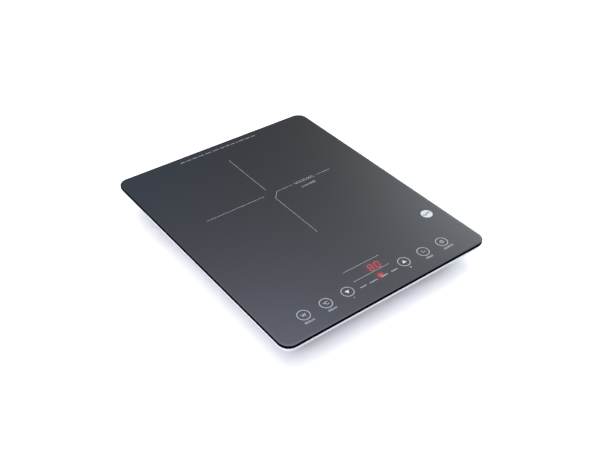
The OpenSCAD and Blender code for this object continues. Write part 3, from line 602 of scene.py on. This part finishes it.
def draw_key_symbols(ink, white):
    """Signs for watts, degrees Celsius, down, up, timer and standby, from left to right."""

    def on_key(i, *points):
        return [(KEY_XS[i] + x, KEY_Y + y) for x, y in points]

    ink.line(on_key(0, (-2.5, 1.7), (-1.3, -1.7), (0, 1.2), (1.3, -1.7), (2.5, 1.7)), 0.7)
    ink.ring(*on_key(1, (-2.0, 1.1)), 1.9, 0.5)
    turns = [math.radians(a) for a in range(50, 311, 20)]
    arc = [(1.4 + 2.1 * math.cos(a), -0.1 + 2.1 * math.sin(a)) for a in turns]
    ink.line(on_key(1, *arc), 0.75)
    for i, way in ((2, -1), (3, 1)):
        white.fill(on_key(i, *[(x, way * y) for x, y in ((-2.8, -1.7), (2.8, -1.7), (0, 2.8))]))
    hub = (-0.6, -0.8)
    ink.line(on_key(4, (-0.6, 2.6), hub, (2.3, -0.8)), 0.75)
    ink.dot(*on_key(4, hub), 1.9)
    ink.ring(*on_key(5, (0, 0)), 5.0, 0.6)
    ink.line(on_key(5, (0, 1.6), (0, -1.0)), 0.8)


def draw_controls(ink, white):
    """The key rings with their signs and labels, and the marks around the display."""
    for x in KEY_XS:
        ink.ring((x, KEY_Y), KEY_RING_D, RING_W)
    draw_key_symbols(ink, white)
    for i, wide in LABEL_WIDTHS.items():
        x0, x1 = KEY_XS[i] - wide / 2, KEY_XS[i] + wide / 2
        ink.ticks(x0, x1, LABEL_Y, 2.7, seed=i, width=0.52, pitch=1.15)
    sign_reach, sign_w = 0.9, 0.6
    minus_x, plus_x = KEY_XS[2:4]
    ink.bar(minus_x - sign_reach, minus_x + sign_reach, LABEL_Y, sign_w)
    white.bar(plus_x - sign_reach, plus_x + sign_reach, LABEL_Y, sign_w)
    for way in SIDES:
        white.bar(plus_x - sign_w / 2, plus_x + sign_w / 2, LABEL_Y + way * 0.6, 0.66)
    for y in DISPLAY_LINE_YS:
        ink.line([(PRINT_X + way * DISPLAY_LINE_REACH, y) for way in SIDES])
    for i, (x0, x1) in enumerate(LIGHT_LABELS):
        ink.ticks(x0 + PRINT_X, x1 + PRINT_X, LIGHT_LABEL_Y, 1.8, seed=20 + i, pitch=0.95)


ZONE_X, ZONE_Y = -4.0, 43.3
CROSS_SPAN = 186.0
ARM_GAP = 9.6


def draw_zone(ink):
    """The cross of the cooking zone, with a coil symbol and a level scale on its right arm."""
    reach = CROSS_SPAN / 2
    back_gap, front_gap = ARM_GAP + 0.5, ARM_GAP + 0.9
    symbols_from, symbols_to = 33.0, 70.6
    arms = (
        [(0, back_gap), (0, reach)],
        [(-ARM_GAP, 0), (-reach, 0)],
        [(symbols_from, 0), (ARM_GAP, 0), (0, -front_gap), (0, -reach)],
        [(symbols_to, 0), (reach, 0)],
    )
    for arm in arms:
        ink.line([(ZONE_X + x, ZONE_Y + y) for x, y in arm])
    loops, start, length, tall = 8, ZONE_X + 37.0, 30.0, 2.1
    steps = 8 * loops
    turns = [math.tau * loops * k / steps for k in range(steps + 1)]
    pace = length / turns[-1]
    ink.line([(start + pace * a, ZONE_Y + tall * math.sin(a)) for a in turns], 0.42)
    first, pitch, wide, scale_y = 36.3, 2.5, 0.9, ZONE_Y - 12.0
    bars, lowest, rise = 9, 1.7, 0.25
    for i in range(bars):
        x, tall = first + pitch * i, lowest + rise * i
        ink.bar(x, x + wide, scale_y + tall / 2, tall)


def draw_back_marks(ink):
    """The row of fine marks along the back edge."""
    ink.ticks(-58.6, 58.4, 167.3, 1.6, seed=11, width=0.58, pitch=1.1, group=(3, 9))


def make_print():
    ink, white = Print(), Print()
    draw_controls(ink, white)
    draw_zone(ink)
    draw_back_marks(ink)
    marks = object_from(ink.bm, "surface_print")
    piece(marks, SLOT_FINISHES["light_print"], "light_print", "printed_marks")
    bright = finish("white_print", (0.4, 0.42, 0.45), 0.35, 2500, 0.06, 0.004)
    piece(object_from(white.bm, "white_symbols"), bright, "light_print")


def make_badge():
    """A plain white disc with a slanted wave on it."""
    at, r = (122.8, -100.9), 7.25
    badge = Print()
    badge.fill(disc(r, at, 64))
    white = finish("badge_white", (0.345, 0.37, 0.395), 0.3, 2200, 0.03, 0.004)
    piece(object_from(badge.bm, "round_badge"), white, "light_print")
    symbol = Print()
    symbol.base, symbol.top = ink_top - LAYER, glass_hi.z
    length, swing, lift, steps = 10.4, 0.9, 0.2, 20
    parts = [k / steps for k in range(steps + 1)]
    wave = [(length * (t - 0.5), lift - swing * math.sin(math.tau * t)) for t in parts]
    symbol.line([(at[0] + x, at[1] + y) for x, y in wave], 2.0)
    grey = finish("badge_grey", (0.09, 0.1, 0.125), 0.35, 2200, 0.1, 0.004)
    piece(object_from(symbol.bm, "badge_symbol"), grey, "light_print")


# ---------- display ----------

DIGIT_SINK = 0.03    # the lit marks reach this far into the glass


def segment(x, y, length, thick, upright):
    """Six-sided bar of a seven-segment digit, centred at x, y."""
    h, t = length / 2, thick / 2
    points = [(-h, 0), (t - h, t), (h - t, t), (h, 0), (h - t, -t), (t - h, -t)]
    if upright:
        points = [(b, -a) for a, b in points]
    return [(x + a, y + b) for a, b in points]


def make_digits():
    """Two slanted red digits that read 80."""
    wide, tall, thick, slant, gap = 6.5, 10.7, 1.4, 0.16, 0.25
    w, h = wide - thick, (tall - thick) / 2
    places = {
        "a": (w / 2, 2 * h), "b": (w, 1.5 * h), "c": (w, 0.5 * h), "d": (w / 2, 0),
        "e": (0, 0.5 * h), "f": (0, 1.5 * h), "g": (w / 2, h),
    }
    lit = {"8": "abcdefg", "0": "abcdef"}
    base_y = KEY_Y + 9.2 + thick / 2
    bm = bmesh.new()
    for digit, left in (("8", -0.2), ("0", 9.3)):
        start = left + thick / 2
        for name in lit[digit]:
            upright = name in "bcef"
            bar = segment(*places[name], (h if upright else w) - gap, thick, upright)
            slanted = [(start + px + slant * py, base_y + py) for px, py in bar]
            prism(bm, slanted, glass_top - DIGIT_SINK, ink_top)
    glow = glow_finish("digit_glow", (1.0, 0.04, 0.045), 0.52)
    piece(object_from(bm, "display_digits"), glow, "indicator_red")


def make_lit_dot():
    """The one indicator that is on, as a soft red spot on the glass."""
    # the spot sits at the middle of the painted glow on the glass
    at = (*DOT_PAINTED_GLOW[0], ink_top)
    r = 4.6
    bm = bmesh.new()
    prism(bm, disc(r, at, 40), glass_top - DIGIT_SINK, ink_top - LAYER)
    glow = glow_finish("dot_glow", (1.0, 0.03, 0.04), 0.62, middle_at=at, reach=r)
    piece(object_from(bm, "indicator_spot"), glow, "indicator_red")


# ---------- case ----------


def cylinders(spots, r, z0, z1):
    """One upright cylinder at each spot, to add to a piece or cut from it."""
    bm = bmesh.new()
    for at in spots:
        prism(bm, disc(r, at, 32), z0, z1)
    return object_from(bm, "cylinders")


def make_frame():
    """White frame under the glass: a rounded rim, a flange with a groove for the bead, a tongue
    that reaches into the base, and screw bosses."""
    top = frame_hi.z
    flange_z = top - 2.8
    rim_in = rim_inset + 2.7
    bead_in, bead_out, groove = 5.0, 9.0, 0.8
    tongue_out, tongue_in, tongue_z = 9.0, 10.6, flange_z - 4.4
    flange_in = 16.0

    def corner(inset):
        return max(PLATE_R - inset, 2.0)

    points = [
        (rim_inset, corner(rim_inset), top),
        (rim_inset, corner(rim_inset), rim_z),
        (rim_in, corner(rim_in), rim_z),
        (rim_in, corner(rim_in), flange_z),
        (tongue_out, 9.0, flange_z),
        (tongue_out, 9.0, tongue_z),
        (tongue_in, 7.4, tongue_z),
        (tongue_in, 7.4, flange_z),
        (flange_in, 2.0, flange_z),
        (flange_in, 2.0, top),
        (bead_out, corner(bead_out), top),
        (bead_out, corner(bead_out), top - groove),
        (bead_in, corner(bead_in), top - groove),
        (bead_in, corner(bead_in), top),
    ]
    cuts = [1.5, 1.7, 0.5, 0.4, 0.4, 0.4, 0.4, 0.4, 0.4, 0.4, 0, 0.15, 0.15, 0]
    bm = bmesh.new()
    loft(bm, [outline(*p) for p in softened(points, cuts, closed=True)], closed=True)
    body = object_from(bm, "white_frame")
    boss_r, root_r, bite = 4.0, 6.0, 7.5
    boss_z = frame_lo.z
    off = 0.01    # keeps the bosses' ends off the flange's own faces
    combine(body, "UNION", cylinders(CASE_SCREW_SPOTS, root_r, flange_z + off, top - off))
    combine(body, "UNION", cylinders(CASE_SCREW_SPOTS, boss_r, boss_z, top - 2 * off))
    combine(body, "DIFFERENCE", cylinders(CASE_SCREW_SPOTS, PILOT_R, boss_z - 1, boss_z + bite))
    piece(body, SLOT_FINISHES["white_plastic"], "white_plastic", "upper_frame")


# inset, corner radius and height of the sloping wall's two ends
SLOPE_BOTTOM = (UNDERSIDE_INSET, 15.0, tray_lo.z + 2.5)
SLOPE_TOP = (tray_inset, PLATE_R - 2, tray_top_z)
slope = math.atan2(SLOPE_TOP[2] - SLOPE_BOTTOM[2], SLOPE_BOTTOM[0] - SLOPE_TOP[0])
HALF_TURN_X = Matrix.Rotation(math.pi, 4, "X")
VENT_W = 2.8
VENT_BEVEL = 0.35


def slot_cutter(bm, place, length, depth):
    """Slot that cuts depth inward from its own Z = 0, with a bevelled mouth."""
    rings = []
    for z, grow in ((-depth, 0), (-VENT_BEVEL, 0), (1.0, VENT_BEVEL + 1.0)):
        edge = stadium(length + 2 * grow, VENT_W + 2 * grow)
        rings.append([place @ Vector((x, y, z)) for x, y in edge])
    loft(bm, rings)


def wall_vents(bm, count, reach, centre, turn):
    """A row of slots through the sloping wall, on the +Y side before it is turned about Z.
    reach is from the origin to the plate's edge above the wall."""
    pitch, length, depth, inset = 6.0, 13.0, 7.0, 13.0
    z = SLOPE_BOTTOM[2] + (SLOPE_BOTTOM[0] - inset) * math.tan(slope)
    lean = Matrix.Rotation(slope, 4, "X") @ HALF_TURN_X
    for i in range(count):
        x = centre + (i - (count - 1) / 2) * pitch
        place = Matrix.Rotation(turn, 4, "Z") @ Matrix.Translation((x, reach - inset, z)) @ lean
        slot_cutter(bm, place, length, depth)


def air_slots():
    """Cutters for the vents in the rear and side walls, and for the round grille under the fan."""
    bm = bmesh.new()
    wall_vents(bm, count=24, reach=HALF_D, centre=36.0, turn=0)
    for way in SIDES:
        wall_vents(bm, count=11, reach=HALF_W, centre=way * 98.0, turn=way * math.pi / 2)
    fan = middle("fan_frame")
    r, pitch, rows, depth = 30.0, 5.4, 5, 4.0
    for i in range(-rows, rows + 1):
        x = i * pitch
        place = Matrix.Translation((fan.x + x, fan.y, tray_lo.z)) @ HALF_TURN_X
        slot_cutter(bm, place, 2 * math.sqrt(r * r - x * x), depth)
    return object_from(bm, "air_slots")


GLAND_FLANGE_T = 1.5
EXIT_W, EXIT_L = 26.0, 22.0
EXIT_Z = (6.5, 22.0)
exit_at = middle("cord_gland")
exit_face = gland_hi.y - GLAND_FLANGE_T


def out_of_exit(y):
    """Turns a lathe's Z towards the front, on the cord's axis, from y."""
    return Matrix.Translation((exit_at.x, y, exit_at.z)) @ Matrix.Rotation(math.pi / 2, 4, "X")


def exit_block(grow, back, r, ease=0.0):
    """Block with rounded long edges, where the cord leaves by the rear wall. Its rear edge is
    bevelled by ease."""
    half = EXIT_W / 2 + grow
    z0, z1 = EXIT_Z[0] - grow, EXIT_Z[1] + grow
    corners = [(-half, z0), (half, z0), (half, z1), (-half, z1)]
    path = softened([(x, z, 0) for x, z in corners], [r] * 4, closed=True)
    y0, y1 = exit_face - EXIT_L, exit_face - back
    rings = [[(exit_at.x + x, y, z) for x, z, _ in path] for y in (y0, y1 - ease)]
    if ease:
        shrink, mid_z = 1 - ease / half, sum(EXIT_Z) / 2
        rings.append([
            (exit_at.x + x * shrink, y1, z - math.copysign(ease, z - mid_z)) for x, z, _ in path
        ])
    bm = bmesh.new()
    loft(bm, rings)
    return object_from(bm, "exit_block")


def head_spots(node):
    """Middles of the four screw heads at the corners of a node's box."""
    lo, hi = box_mm(node)
    r = HEAD_D / 2
    return [(x, y) for x in (lo.x + r, hi.x - r) for y in (lo.y + r, hi.y - r)]


def make_tray():
    """Base shell, with sloping walls, vents, screw posts and stands, and the cord's exit."""
    flat, low_r, lip = 40.0, 12.0, 0.86
    inner_top = tray_inset + WALL_T / math.sin(slope) + lip
    outer = [
        (flat, low_r, tray_lo.z), (UNDERSIDE_INSET + 4, low_r, tray_lo.z),
        SLOPE_BOTTOM, SLOPE_TOP,
    ]
    inner = [
        (inner_top, PLATE_R - 4, tray_top_z),
        (UNDERSIDE_INSET + 3.5, low_r, floor_z), (flat, low_r, floor_z),
    ]
    outer_cuts = [0, 2.2, 2.6]
    skin = softened(outer + inner, [*outer_cuts, 0.7, 0.4, 2.0, 0], steps=6)
    bm = bmesh.new()
    loft(bm, [outline(*p) for p in skin])
    shell = object_from(bm, "white_base")

    bm = bmesh.new()
    loft(bm, [outline(*p) for p in softened(outer, [*outer_cuts, 0], steps=6)])
    solid = object_from(bm, "outside_of_base")
    post_r, post_top = 5.0, frame_lo.z
    posts = cylinders(CASE_SCREW_SPOTS, post_r, tray_lo.z - 1, post_top)
    combine(posts, "INTERSECT", solid)
    combine(shell, "UNION", posts)

    coil = middle("coil_screws")
    reach = box_mm("coil_screws")[1].x - coil.x - HEAD_D / 2
    coil_spots = [(coil.x + x * reach, coil.y + y * reach) for x in SIDES for y in SIDES]
    ear_t, coil_stand_r, stand_r, bite = 4.1, 4.5, 3.5, 10
    for spots, r, top in (
        (coil_spots, coil_stand_r, box_mm("coil_carrier")[1].z - ear_t),
        (head_spots("board_screws"), stand_r, box_mm("main_board")[0].z),
        (head_spots("control_screws"), stand_r, box_mm("control_board")[0].z),
        (head_spots("fan_screws"), stand_r, box_mm("fan_frame")[0].z),
    ):
        combine(shell, "UNION", cylinders(spots, r, floor_z - 0.5, top))
        pilot_z = max(top - bite, floor_z - 1)
        combine(shell, "DIFFERENCE", cylinders(spots, PILOT_R, pilot_z, top + 1))

    combine(shell, "UNION", exit_block(grow=0, back=0, r=2.5, ease=0.6))
    combine(shell, "DIFFERENCE", exit_block(grow=-WALL_T, back=WALL_T, r=0.6))
    combine(shell, "DIFFERENCE", air_slots())
    seat_z = post_top - 3.0
    pocket_r, through_r = HEAD_D / 2 + 0.3, SCREW_D / 2 + 0.1
    for spots, r, z0, z1 in (
        (CASE_SCREW_SPOTS, pocket_r, tray_lo.z - 1, seat_z),
        (CASE_SCREW_SPOTS, through_r, seat_z - 1, post_top + 1),
        (FOOT_SPOTS, STEM_D / 2 + 0.1, tray_lo.z - 1, floor_z + 1),
    ):
        combine(shell, "DIFFERENCE", cylinders(spots, r, z0, z1))
    hole_r, hole_l = 4.8, WALL_T + 2
    bm = bmesh.new()
    lathe(bm, [(0, 0), (hole_r, 0), (hole_r, hole_l), (0, hole_l)], out_of_exit(exit_face + 1))
    combine(shell, "DIFFERENCE", object_from(bm, "gland_hole"))
    piece(shell, SLOT_FINISHES["white_plastic"], "white_plastic", "base_shell")


def make_feet():
    """Round rubber feet: a recess and a ring groove in the tread, and a stem through the base."""
    r, tread, top = FOOT_D / 2, 1.5, tray_lo.z
    head_r, head_top = 4.2, feet_hi.z
    points = [
        (0, 1.0), (4.6, 1.0), (5.0, 0), (6.5, 0), (6.7, 0.5), (7.3, 0.5), (7.5, 0),
        (r - tread, 0), (r, tread), (r - 0.3, top), (STEM_D / 2, top), (STEM_D / 2, floor_z),
        (head_r, floor_z), (head_r - 0.6, head_top), (0, head_top),
    ]
    cuts = [0, 0.3, 0.3, 0.1, 0.1, 0.1, 0.1, 0.8, 0.9, 0.5, 0, 0, 0.2, 0.5, 0]
    profile = softened([(x, z, 0) for x, z in points], cuts, steps=4)
    bm = bmesh.new()
    for x, y in FOOT_SPOTS:
        lathe(bm, [(p.x, p.y) for p in profile], Matrix.Translation((x, y, 0)), steps=56)
    piece(object_from(bm, "round_feet"), SLOT_FINISHES["foot_rubber"], "foot_rubber", "rubber_feet")


def make_gland():
    """Rubber bush in the cord exit, with a rounded flange and a ribbed mouth."""
    bore, neck, flange, clip = 3.6, 4.7, 6.5, 5.3
    depth = gland_hi.y - gland_lo.y
    wall_in = GLAND_FLANGE_T + WALL_T
    clip_end = wall_in + 3
    points = [
        (bore + 0.5, 0), (flange, 0), (flange, GLAND_FLANGE_T), (neck, GLAND_FLANGE_T),
        (neck, wall_in), (clip, wall_in), (clip - 0.4, clip_end), (neck, clip_end),
        (neck - 0.2, depth), (bore, depth), (bore, 1.0),
    ]
    cuts = [0.3, 0.7, 0.3, 0, 0, 0.2, 0.2, 0, 0.2, 0.3, 0.4]
    profile = softened([(x, z, 0) for x, z in points], cuts, steps=4, closed=True)
    bm = bmesh.new()
    lathe(bm, [(p.x, p.y) for p in profile], out_of_exit(gland_hi.y), steps=56)
    bush = object_from(bm, "cord_bush")
    piece(bush, SLOT_FINISHES["black_plastic"], "black_plastic", "cord_gland")


# ---------- studio ----------


def make_floor():
    """Plain pale floor just under the feet."""
    top, thick, r = -0.2, 20.0, 6000.0
    bm = bmesh.new()
    prism(bm, disc(r, (0, 0), steps=96), top - thick, top)
    floor = object_from(bm, "studio_floor")
    n = Finish("studio_floor")
    n.set(Base_Color=(0.83, 0.828, 0.82, 1), Roughness=1.0, Specular_IOR_Level=0.0)
    floor.data.materials.append(n.material)


def direction(azimuth, elevation):
    """Unit vector. Azimuth turns from +Y towards +X."""
    a, e = math.radians(azimuth), math.radians(elevation)
    return Vector((math.sin(a) * math.cos(e), math.cos(a) * math.cos(e), math.sin(e)))


BASE_LIGHT = (0.17, 0.175, 0.19)
# azimuth, elevation and half width in degrees, then red, green and blue brightness
SOFT_LIGHTS = (
    (60, 29, 10, (4.29, 4.95, 5.22)),
    (36.5, 58, 13.3, (2.45, 2.90, 4.15)),
    (15, 30, 12, (0.00, 0.20, 0.43)),
    (60, 42, 22, (0.40, 0.34, 0.33)),
    (120, 42, 22, (2.10, 2.15, 2.35)),
    (240, 42, 22, (5.15, 5.20, 5.65)),
    (300, 42, 22, (0.70, 0.65, 0.60)),
    (0, 78, 25, (5.15, 4.95, 4.80)),
)


def make_sky():
    """Broad soft lights that fade out at their edges, in front of a plain white backdrop."""
    world = bpy.data.worlds.new("studio")
    bpy.context.scene.world = world
    world.use_nodes = True
    sky = Graph(world.node_tree)
    towards = sky.add("ShaderNodeTexCoord").outputs["Generated"]
    total = BASE_LIGHT
    for azimuth, elevation, width, colour in SOFT_LIGHTS:
        aim = direction(azimuth, elevation)
        cosine = sky.vector_maths("DOT_PRODUCT", towards, aim, "Value")
        angle = sky.maths("ARCCOSINE", sky.maths("MINIMUM", cosine, 1.0))
        spread = sky.maths("POWER", sky.maths("DIVIDE", angle, math.radians(width)), 2.0)
        lobe = sky.maths("POWER", math.e, sky.maths("MULTIPLY", spread, -1.0))
        total = [sky.maths("ADD", t, sky.maths("MULTIPLY", lobe, c)) for t, c in zip(total, colour)]
    lit = sky.tree.nodes["Background"]
    sky.put(lit.inputs["Color"], sky.add("ShaderNodeCombineXYZ", enumerate(total)).outputs[0])
    plain = sky.add("ShaderNodeBackground", {"Color": (1, 1, 1, 1)})
    seen = sky.add("ShaderNodeLightPath").outputs["Is Camera Ray"]
    inputs = {0: seen, 1: lit.outputs[0], 2: plain.outputs[0]}
    both = sky.add("ShaderNodeMixShader", inputs).outputs[0]
    sky.put(sky.tree.nodes["World Output"].inputs[0], both)


def make_camera():
    """Looks down on the plate from beyond its front left corner."""
    azimuth, elevation, roll = (math.radians(v) for v in (-37.9, 38.07, 0.817))
    distance, aim = 0.95737, Vector((-0.01253, -0.02763, 0.04))
    right = Vector((math.cos(azimuth), math.sin(azimuth), 0))
    ahead = Vector((math.sin(azimuth), -math.cos(azimuth), 0))
    back = ahead * math.cos(elevation) + Vector((0, 0, math.sin(elevation)))
    up = back.cross(right)
    camera = bpy.data.objects.new("camera", bpy.data.cameras.new("camera"))
    bpy.context.scene.collection.objects.link(camera)
    x = right * math.cos(roll) + up * math.sin(roll)
    y = up * math.cos(roll) - right * math.sin(roll)
    turn = Matrix((x, y, back)).transposed().to_4x4()
    camera.matrix_world = Matrix.Translation(aim + back * distance) @ turn
    camera.data.lens = 48.857
    camera.data.sensor_width = 36
    bpy.context.scene.camera = camera


bpy.context.scene.view_settings.view_transform = "Standard"
make_camera()
make_sky()
make_floor()
dress_cad_nodes()
make_glass()
make_print()
make_badge()
make_digits()
make_lit_dot()
make_frame()
make_tray()
make_feet()
make_gland()
